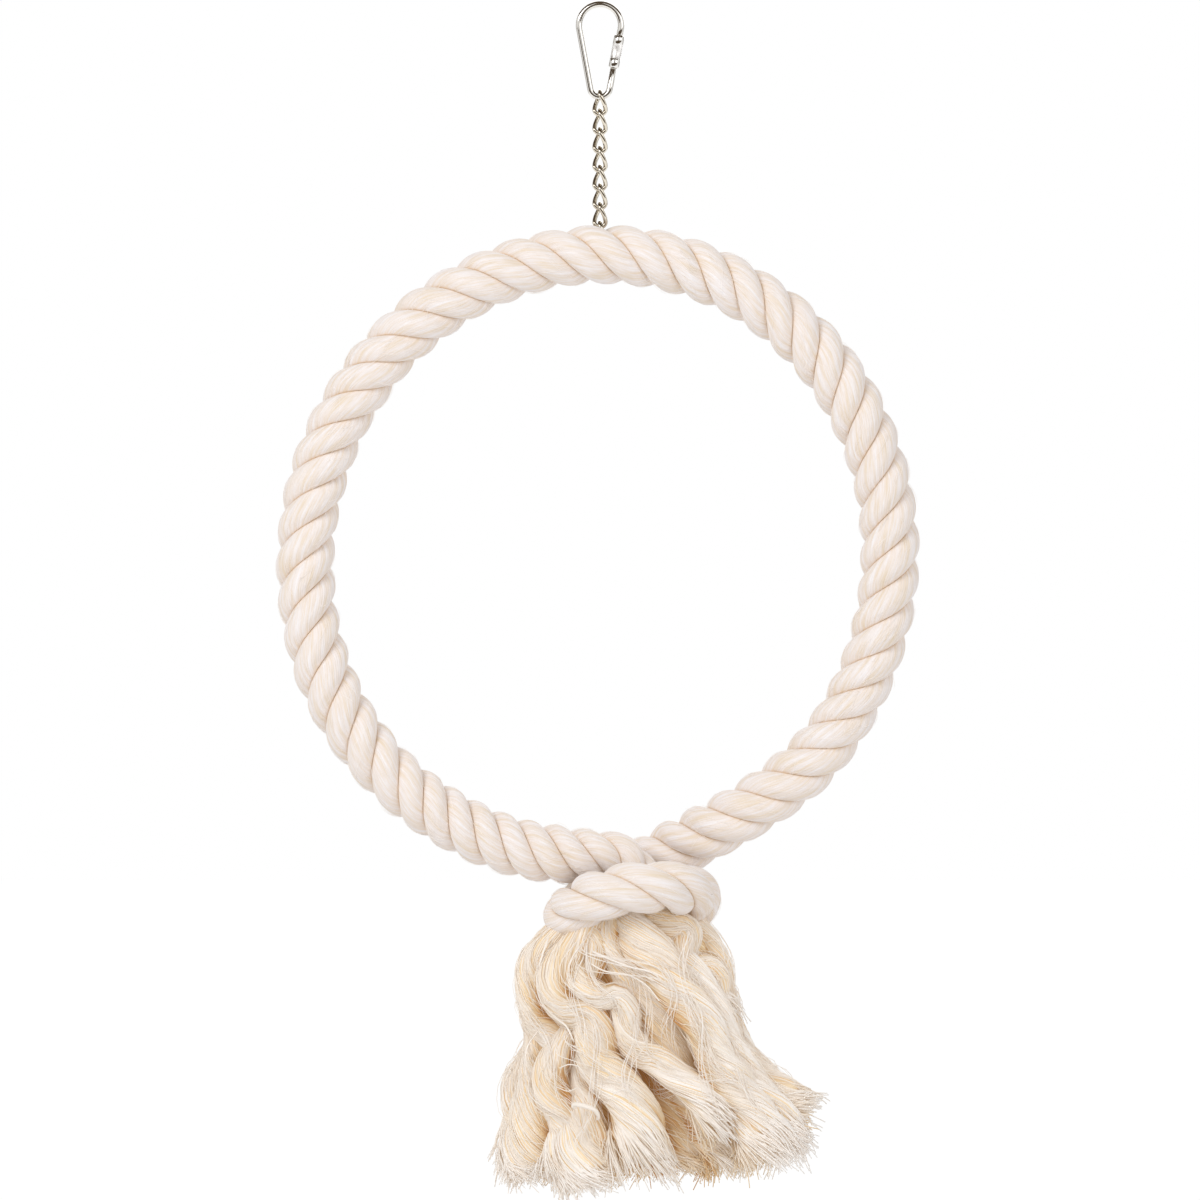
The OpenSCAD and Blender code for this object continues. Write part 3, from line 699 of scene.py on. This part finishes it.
# Tassel: the rope's ends hang unlaid, as locks of yarn. Each row is one lock, drawn as places on
# its middle line from the knot down, in millimetres: x, y, z and the lock's half width there.
tassel_locks = {
    "left_outer": [(-4, -4, -354, 5), (-16, -6, -363, 6), (-24, -6, -371, 6.5), (-26, -7, -379, 6.5),
                   (-26, -8, -387, 6), (-24, -8, -394, 5.5), (-18, -9, -400, 5), (-15, -10, -404, 3.5)],
    "left_low": [(-16, 0, -372, 5), (-21, -1, -388, 6), (-22, -3, -401, 6), (-24, -5, -411, 7),
                 (-24, -8, -421, 8), (-25, -9, -429, 9.5), (-26, -9, -438, 11), (-24, -8, -448, 12),
                 (-23, -8, -454, 12)],
    "left_inner": [(-13, -8, -380, 4), (-10, -12, -395, 4.5), (-15, -15, -405, 5.5), (-19, -16, -413, 6),
                   (-19, -17, -421, 6.5), (-15, -17, -429, 6.5), (-12, -18, -437, 7), (-14, -18, -446, 9),
                   (-16, -17, -453, 10)],
    "big_bend": [(0, -9, -354, 5), (-7, -13, -364, 7), (-14, -15, -373, 7.5), (-17, -16, -382, 7.5),
                 (-13, -17, -389, 6.5), (-5, -19, -392, 6.5), (-2, -21, -400, 7.8), (-1, -22, -408, 7.8),
                 (5, -23, -416, 8), (10, -24, -423, 8.5), (14, -24, -432, 9.5), (15, -24, -441, 11),
                 (15, -23, -452, 13)],
    "hook": [(-8, -14, -363, 4), (-10, -16, -371, 4.5), (-7, -19, -380, 5), (1, -21, -385, 5),
             (7, -22, -384, 4.5), (10, -21, -390, 5), (10, -21, -398, 5.5), (15, -22, -405, 5.5),
             (22, -23, -409, 5.5), (29, -24, -415, 5.5), (37, -24, -421, 6), (42, -24, -427, 6.5),
             (46, -24, -436, 7)],
    "big_right": [(10, -9, -354, 6), (15, -13, -362, 8), (22, -16, -371, 8.5), (28, -19, -380, 8),
                  (35, -21, -388, 7.5), (40, -22, -396, 7.5), (44, -22, -405, 7.5), (48, -22, -413, 7.8),
                  (53, -21, -421, 8), (59, -21, -429, 9), (63, -20, -438, 10.5), (65, -20, -448, 12)],
    "middle_front": [(6, -8, -355, 4), (9, -11, -365, 4.5), (14, -13, -375, 5), (18, -14, -384, 6),
                     (23, -13, -394, 7), (27, -12, -405, 8), (29, -11, -414, 8), (33, -10, -423, 8),
                     (39, -10, -432, 8), (46, -12, -441, 8), (48, -12, -450, 8)],
    "right_bright": [(23, -6, -355, 5), (28, -9, -365, 6), (36, -12, -376, 6.5), (42, -14, -386, 6),
                     (47, -15, -395, 5.5), (51, -15, -404, 5.5), (55, -15, -412, 6), (60, -15, -420, 6.5),
                     (66, -14, -428, 7.5), (69, -14, -436, 9), (71, -14, -443, 10)],
    "right_outer": [(33, 0, -355, 5), (41, -1, -365, 6), (45, -3, -374, 6.5), (46, -4, -383, 6),
                    (47, -5, -391, 6), (51, -5, -400, 6), (55, -5, -408, 6), (61, -5, -415, 6.5),
                    (68, -5, -421, 7), (73, -5, -426, 7.5), (78, -5, -430, 8)],
    "right_curl": [(33, -5, -355, 3.5), (36, -7, -361, 4), (33, -9, -367, 4), (36, -10, -372, 4.2),
                   (42, -10, -373, 4.5), (46, -9, -378, 4.5), (46, -9, -384, 4), (49, -9, -390, 3.5)],
    "under_knot": [(19, -8, -353, 5), (27, -10, -357, 5.5), (33, -11, -360, 5.5), (32, -12, -366, 5),
                   (29, -12, -372, 5), (33, -13, -379, 4.5), (39, -14, -387, 4)],
    "low_middle": [(-8, -10, -398, 4), (-7, -12, -409, 4), (-8, -14, -419, 4.5), (-6, -18, -427, 6),
                   (-6, -21, -436, 8), (-7, -22, -442, 10), (-6, -22, -449, 11.5), (-4, -21, -456, 12)],
    "shaded": [(15, -4, -380, 7), (19, -4, -396, 8), (23, -4, -411, 9), (24, -5, -423, 10),
               (27, -6, -433, 11), (29, -6, -444, 12), (29, -6, -450, 12)],
    "top_left": [(-8, -7, -353, 4.5), (-4, -11, -359, 5), (-2, -14, -366, 5.5), (-4, -16, -374, 5),
                 (-8, -16, -382, 4), (-8, -15, -390, 3)],
    "top_right": [(6, -9, -353, 4), (3, -12, -360, 4.5), (5, -14, -368, 4.5), (10, -15, -377, 4.5),
                  (11, -15, -384, 4), (14, -14, -392, 4)],
    "left_side": [(-6, 3, -355, 5), (-16, 5, -363, 6.5), (-24, 6, -374, 7), (-23, 6, -386, 7),
                  (-20, 7, -398, 6.5), (-25, 7, -410, 7), (-30, 6, -422, 8), (-29, 6, -436, 10),
                  (-27, 6, -449, 11.5)],
    "back_1": [(-2, 8, -356, 5), (-10, 13, -366, 6.5), (-19, 15, -378, 7), (-24, 16, -389, 6.5),
               (-23, 18, -400, 6.5), (-19, 20, -412, 7.5), (-22, 21, -424, 8.5), (-28, 20, -437, 10),
               (-26, 19, -450, 11.5)],
    "back_2": [(3, 9, -355, 5), (-3, 15, -366, 6.5), (-4, 19, -378, 7), (-9, 21, -389, 6.5),
               (-13, 22, -400, 7), (-10, 23, -412, 7.5), (-5, 24, -424, 8.5), (-6, 24, -437, 10.5),
               (-9, 23, -452, 12)],
    "back_3": [(19, 22.5, -362, 7), (13, 23.5, -368, 10), (7, 24.5, -375, 10), (2, 25, -385, 8.5),
               (4, 26, -398, 8), (11, 27, -410, 8), (14, 26, -423, 8.5), (12, 25, -437, 10.5),
               (10, 24, -450, 12)],
    "back_4": [(17, 10, -355, 5.5), (22, 15, -366, 7), (27, 18, -377, 7), (26, 20, -388, 7),
               (20, 21, -399, 7.5), (21, 22, -411, 7.5), (28, 23, -423, 8.5), (33, 24, -436, 10),
               (34, 23, -449, 11.5)],
    "back_5": [(24, 8, -355, 5), (31, 12, -365, 6.5), (35, 15, -376, 7), (34, 18, -388, 6.5),
               (39, 19, -400, 7), (46, 20, -411, 7.5), (47, 20, -423, 8.5), (52, 20, -435, 9.5),
               (54, 19, -446, 11)],
    "back_6": [(30, 4, -355, 5), (38, 8, -366, 6), (42, 10, -378, 6.5), (48, 11, -389, 6.5),
               (47, 12, -401, 6.5), (53, 12, -412, 7), (61, 11, -422, 8), (67, 11, -431, 9),
               (70, 10, -438, 9.5)],
    "heart_1": [(2, -4, -360, 9.5), (-8, -4, -376, 11.5), (-9, -4, -392, 11.5), (-11, -1, -410, 11.5),
                (-12, -1, -428, 13.5), (-12, -2, -448, 14.5)],
    "heart_2": [(10, -4, -360, 10.5), (6, -4, -378, 12.5), (8, -2, -396, 12.5), (6, -1, -414, 12.5),
                (6, -1, -432, 14.5), (5, -2, -450, 15.5)],
    "heart_3": [(20, -4, -360, 10.5), (24, -4, -378, 11.5), (28, -1, -396, 12.5), (32, 1, -412, 12.5),
                (36, 1, -428, 13.5), (38, 0, -444, 13.5)],
    "heart_4": [(30, -4, -362, 8.5), (38, -3, -378, 9.5), (44, -2, -396, 10.5), (52, -1, -410, 10.5),
                (58, -1, -424, 11.5), (62, -2, -436, 11.5)],
}
# The locks that stand in for each of the tassel's plain locks.
tassel_groups = [
    "left_outer left_inner", "big_bend low_middle", "hook top_left top_right", "big_right under_knot",
    "left_low left_side", "heart_1 shaded", "heart_2 heart_3 middle_front",
    "right_bright right_outer right_curl heart_4", "back_1", "back_2 back_3", "back_4", "back_5 back_6"]
# Single yarns that left their locks, as a half width and places in millimetres: a thick loop at the
# front, a white yarn down the left, curls over the gaps and hairs off the right outline.
stray_yarns = [
    (1.0, [(-10, -29, -427), (-9.8, -31.5, -425.6), (-6, -33, -426.2), (-2, -33, -427.8), (-0.6, -31, -430),
           (-1, -28, -431.5)]),
    (0.55, [(-20, -13, -362), (-22.5, -16, -369), (-24.5, -17, -378), (-23, -18, -386), (-18, -20, -392),
            (-13, -22, -396), (-10, -23, -402)]),
    (0.5, [(-3, -20, -367), (4, -23, -370), (12, -24, -373), (20, -24.5, -375), (26, -26, -380)]),
    (0.35, [(-5, -20, -371), (2, -24, -374.5), (11, -25, -376), (18, -25, -380), (23, -26, -386)]),
    (0.25, [(-15.6, -27, -411.8), (-12, -31, -410.3), (-8, -31.5, -411.3), (-5.6, -30, -415)]),
    (0.2, [(-17, -27, -419), (-12.5, -31, -420.6), (-8, -32, -419.4), (-6, -32, -424)]),
    (0.2, [(3, -31, -424), (8, -34, -420), (13, -34, -421.5), (15, -34, -426)]),
    (0.25, [(38, -6, -360), (43, -8, -361), (47, -8, -365), (48.6, -8, -371)]),
    (0.2, [(41, -6, -364), (46, -8, -363), (50, -8, -368), (49, -8, -374)]),
    (0.2, [(49, -8, -384), (53, -9, -387), (55, -9, -393), (56.5, -9, -401)]),
    (0.2, [(50, -8, -391), (54, -9, -393), (56, -9, -399), (55, -9, -405)]),
    (0.3, [(-24, -12, -398), (-28, -14, -404), (-29, -14, -412), (-27, -14, -420)])]
# Wisps from lock to lock: upper and lower lock, how far down each they cross, and how many.
wisp_bridges = [
    ("top_left", "hook", 0.45, 0.25, 7), ("top_left", "big_bend", 0.6, 0.35, 6),
    ("left_outer", "big_bend", 0.35, 0.30, 6), ("left_outer", "left_inner", 0.8, 0.35, 5),
    ("big_bend", "hook", 0.2, 0.2, 6), ("hook", "big_right", 0.12, 0.12, 5),
    ("left_inner", "big_bend", 0.3, 0.5, 5), ("big_bend", "low_middle", 0.6, 0.5, 6),
    ("left_low", "low_middle", 0.55, 0.45, 6), ("left_low", "left_inner", 0.6, 0.6, 6),
    ("hook", "big_bend", 0.6, 0.62, 6), ("middle_front", "hook", 0.4, 0.55, 5),
    ("big_right", "middle_front", 0.35, 0.35, 6), ("big_right", "hook", 0.5, 0.8, 5),
    ("right_curl", "big_right", 0.5, 0.3, 6), ("right_bright", "big_right", 0.3, 0.45, 10),
    ("right_outer", "right_bright", 0.4, 0.4, 7), ("right_bright", "big_right", 0.6, 0.65, 8),
    ("top_right", "big_right", 0.5, 0.25, 5), ("under_knot", "big_right", 0.5, 0.3, 5),
    ("shaded", "big_right", 0.6, 0.6, 5)]
# Painted light and shade: locks that lie in more light are painted whiter, and ones in the tassel's shade
# are painted creamier and darker.
lock_painted_light = {"right_bright": 0.45, "big_right": 0.15, "hook": 0.12, "low_middle": 0.1, "shaded": -0.5,
              "heart_1": -0.6, "heart_2": -0.6, "heart_3": -0.6, "heart_4": -0.4, "middle_front": -0.05}
tassel_middle = (0.013, 0.004, 0)
yarn_r, yarn_spacing_in_lock, lock_lay, lock_points = 0.00031, 0.00062, 0.085, 33
crimp_reach, crimp_length = 0.00022, 0.0105
# Hidden locks have their yarns this many times further apart.
hidden_spacing = 2.5
stray_group, stray_points, wisp_points, loose_count = 3, 24, 19, 90
# Painted light: yarn ends and frayed fibres are painted lighter, against the grey shade on thin fibres.
loose_tone, stray_tone, hair_tone, frayed_painted_light, tip_painted_light = 0.6, 0.65, 0.9, 0.28, 0.22
# How thick single fibres are along their length. Real ones are thinner: these are as thin as shows.
frayed_radii = (0.00026, 0.00025, 0.00018)
loose_radii = (0.00003, 0.00013, 0.00011, 0.00003)
wisp_radii = (0.00005, 0.00017, 0.00015, 0.00005)
hair_radii = (0.00007, 0.00006, 0.00003)


def through(points, count):
    """A smooth line through the points."""
    p = np.array(points, float)
    p = np.vstack([2 * p[0] - p[1], p, 2 * p[-1] - p[-2]])
    place = np.linspace(0, len(p) - 3, count)
    i = np.minimum(place.astype(int), len(p) - 4)
    t = (place - i)[:, None]
    a, b, c, d = p[i], p[i + 1], p[i + 2], p[i + 3]
    return 0.5 * (2 * b + (c - a) * t + (2 * a - 5 * b + 4 * c - d) * t ** 2
                  + (3 * b - a - 3 * c + d) * t ** 3)


class Lock:
    """A twisted, uneven bundle that yarns are laid on."""

    def __init__(self, points):
        line = through(points, lock_points) * 0.001
        self.middle, self.reach = line[:, :3], line[:, 3]
        self.side, self.other = carried_frames(self.middle, [0, 1, 0])
        self.share = np.linspace(0, 1, lock_points)
        self.length = np.linalg.norm(np.diff(self.middle, axis=0), axis=1).sum()
        self.turns = -self.length / lock_lay
        self.phases = rng.uniform(0, 2 * math.pi, 3)
        out = (self.middle - np.array(tassel_middle)) * np.array([1, 1, 0])
        self.outward = out / np.maximum(np.linalg.norm(out, axis=1), 0.001)[:, None]

    def shade(self, line, first, last):
        """Painted shade: yarns on a lock's flanks, against its neighbours, are painted warmer and darker
        than those on its face.
        """
        off = line - self.middle[first:last]
        off /= np.linalg.norm(off, axis=1)[:, None] + 1e-9
        facing = (off * self.outward[first:last]).sum(axis=1)
        return np.interp(facing, [-0.3, 0.25, 0.8], [-0.60, -0.19, 0.05])

    def place(self, start_angle, depth, wander=0.0):
        """Points down the lock at an angle and a share of its half width."""
        share, phases = self.share, self.phases
        clump = 0.16 * np.sin(3 * start_angle + 6 * share + phases[0])
        angle = start_angle + 2 * math.pi * self.turns * share + wander + clump
        lobes = (1 + 0.10 * np.cos(3 * start_angle + phases[1])
                 + 0.05 * np.cos(5 * start_angle + phases[2] + 3 * share))
        reach = self.reach * depth * lobes
        # The yarns keep the crimp that the rope's lay gave them, up to their ends.
        waves = 2 * math.pi * share * self.length / crimp_length
        crimp = crimp_reach * np.sin(waves + 1.5 * np.sin(2 * start_angle + phases[1]))
        crimp = crimp * np.minimum(1, 3 * (1 - share))
        across, out = np.cos(angle), np.sin(angle)
        return (self.middle + (0.82 * reach * across - crimp * out)[..., None] * self.side
                + (reach * out + crimp * across)[..., None] * self.other)


def lock_skin(lock):
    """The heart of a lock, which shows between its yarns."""
    columns = 60
    starts = np.linspace(0, 2 * math.pi, columns + 1)
    depth = 0.965 * np.sqrt(np.clip((0.95 - lock.share) / 0.07, 0.0001, 1))
    points = np.stack([lock.place(a, depth) for a in starts], axis=1)
    points[:, -1] = points[:, 0]
    along = np.broadcast_to((lock.share * lock.length)[:, None], (lock_points, columns + 1))
    across = np.broadcast_to((starts * lock.reach.mean())[None, :], along.shape)
    # Painted shade on the heart's flanks, as the weight of its material's warm brown.
    tones = np.stack([lock.shade(points[:, i], 0, lock_points) for i in range(columns + 1)], axis=1)
    return swept_skin(points, along, across, np.interp(tones, [-0.6, 0.05], [0.75, 0.0]))


def lock_yarns(lock, hidden, shift):
    """The yarns, frayed ends and loose fibres of one lock. A hidden lock has fewer."""
    share = lock.share
    yarns = []

    def fray(line, count, tone):
        """Down from its last stretch each yarn opens into fine fibres, which end unevenly."""
        stem = min(len(line) - 1, rng.integers(4, 8))
        start = line[-stem:]
        ahead = line[-1] - line[-3]
        ahead /= np.linalg.norm(ahead)
        steps = np.linspace(0, 1, stem + 1)[:, None]
        for i in range(count):
            end = line[-1] + ahead * rng.uniform(0.0005, 0.0065)
            drift = rng.normal(0, 0.0017, 3)
            wave = rng.normal(0, 0.0003, 3) * np.sin(steps * rng.uniform(5, 12))
            # Painted light: each frayed fibre is painted lighter than its yarn.
            yarns.append((np.vstack([start, end]) + drift * steps ** 1.5 + wave * steps,
                          np.interp(steps[:, 0], [0, 0.7, 1], frayed_radii), tone + frayed_painted_light))

    def lay_yarn(start_angle, depth, first, last, tone, fibres):
        waves = rng.uniform(0, 2 * math.pi, 3)
        wander = 0.05 * np.sin(7 * share + waves[0]) + 0.03 * np.sin(15 * share + waves[1])
        lift = depth * (1 + 0.02 * np.sin(9 * share + waves[2]))
        line = lock.place(start_angle, lift, wander)[first:last]
        thin = np.clip((len(line) - 1 - np.arange(len(line))) / 2.5, 0.45, 1)
        # Painted light and shade: the lock's tone shift and its flank shade go into the yarn's tone, and
        # its end is painted lighter.
        tone = tone + shift + lock.shade(line, first, last)
        yarns.append((line, yarn_r * rng.uniform(0.75, 1.25) * thin,
                      tone + tip_painted_light * share[first:last] ** 3))
        fray(line, fibres, tone[-1])

    spacing = yarn_spacing_in_lock * (hidden_spacing if hidden else 1)
    yarn_count = int(2 * math.pi * lock.reach.mean() / spacing)
    fibres = 1 if hidden else 3
    for i in range(yarn_count):
        angle = 2 * math.pi * (i + rng.uniform(-0.3, 0.3)) / yarn_count
        tone = 0.42 + 0.10 * math.sin(2 * angle + lock.phases[1]) + rng.normal(0, 0.07)
        lay_yarn(angle, rng.uniform(0.96, 0.99), 0, lock_points - rng.integers(0, 3), tone, fibres)
    for i in range(int(yarn_count * 0.9)):
        first = rng.integers(lock_points * 4 // 9, lock_points * 3 // 4)
        lay_yarn(rng.uniform(0, 2 * math.pi), rng.choice([0.5, 0.75, 0.96, 0.98]), first,
                 lock_points - rng.integers(0, 3), rng.uniform(0.3, 0.6), fibres)
    # Loose fibres lie over the lock, a little off its yarns, and lift from it here and there.
    for i in range(0 if hidden else loose_count):
        first = rng.integers(0, lock_points - 12)
        last = min(lock_points, first + rng.integers(8, 16))
        part = np.linspace(0, 1, last - first)
        drift = rng.normal(0, 0.9) * (share - share[first]) * 4 + 0.05 * np.sin(30 * share + i)
        lift = np.ones(lock_points)
        lift[first:last] = 1.01 + rng.uniform(0.02, 0.16) * np.sin(part * math.pi)
        yarns.append((lock.place(rng.uniform(0, 2 * math.pi), lift, drift)[first:last],
                      np.interp(part, [0, 0.1, 0.8, 1], loose_radii), loose_tone))
    return yarns


def wisps(locks, upper, lower, upper_share, lower_share, count):
    """Fibres that leave one lock's face and lie over onto its neighbour's, as lines."""
    part = np.linspace(0, 1, wisp_points)
    lines = []
    turns = rng.normal(0, 0.35, 2)
    for i in range(count):
        shift, reach = rng.normal(0, 0.02), rng.uniform(0.30, 0.46)
        blend = np.clip(part * 1.6 - rng.uniform(0.2, 0.4), 0, 1)
        blend = (blend * blend * (3 - 2 * blend))[:, None]
        ends = []
        for name, start, turn in ((upper, upper_share, turns[0]), (lower, lower_share, turns[1])):
            lock = locks[name]
            place = np.clip(start + shift + reach * (part - 0.5), 0, 0.97) * (lock_points - 1)
            low = np.minimum(place.astype(int), lock_points - 2)
            rest = (place - low)[:, None]
            middle = lock.middle[low] * (1 - rest) + lock.middle[low + 1] * rest
            reach_there = np.interp(place, np.arange(lock_points), lock.reach)[:, None]
            turn = turn + rng.normal(0, 0.14)
            ends.append(middle + reach_there * 1.03 * np.array([math.sin(turn), -math.cos(turn), 0]))
        line = ends[0] * (1 - blend) + ends[1] * blend
        line[:, 1] -= rng.uniform(0.0002, 0.0016) * np.sin(part * math.pi)
        lines.append(line + rng.normal(0, 0.0009, 3) * np.sin(part * rng.uniform(4, 9))[:, None])
    return lines


def finish_yarns(name, yarns, replaces=()):
    """Draws yarns as one piece. Each is a line, its radii and its tone, which carries painted light and
    shade.
    """
    sides = 4
    lines, radii, tones = zip(*yarns)
    mesh = drawn_tubes(lines, radii, sides)
    # The rings of the end caps come first in the mesh, and the last yarn's come first of them.
    tones = [np.broadcast_to(tone, len(line)) for line, tone in zip(lines, tones)]
    caps = [tone[[-1, 0]] for tone in reversed(tones)]
    values = np.repeat(np.concatenate(caps + tones), sides).astype(np.float32)
    mesh.attributes.new("tone", "FLOAT", "POINT").data.foreach_set("value", values)
    weld(mesh)
    finish_piece(name, mesh, yarn_cotton, "ring", replaces)


def tassel():
    locks = {}
    for index, group in enumerate(tassel_groups, start=1):
        yarns = []
        heart = bmesh.new()
        heart.loops.layers.uv.new("along")
        for name in group.split():
            lock = locks[name] = Lock(tassel_locks[name])
            skin = mesh_from(lock_skin(lock))
            heart.from_mesh(skin)
            bpy.data.meshes.remove(skin)
            # Each lock gets its painted light and shade as a shift of its yarns' tone.
            yarns += lock_yarns(lock, name.startswith("heart"), lock_painted_light.get(name, 0.0))
        for radius, places in stray_yarns if index == stray_group else ():
            yarns.append((through(places, stray_points) * 0.001,
                          np.linspace(radius, radius * 0.8, stray_points) * 0.001, stray_tone))
        finish_piece(f"lock_heart_{index}", mesh_from(heart), lock_cotton, "ring")
        finish_yarns(f"yarn_lock_{index}", yarns, [f"tassel_lock_{index}"])
    crossing = [line for bridge in wisp_bridges for line in wisps(locks, *bridge)]
    radii = np.interp(np.linspace(0, 1, wisp_points), [0, 0.2, 0.8, 1], wisp_radii)
    finish_yarns("wisps", [(line, radii, rng.uniform(0.5, 1.0)) for line in crossing])


tassel()
rope_hairs(1500)
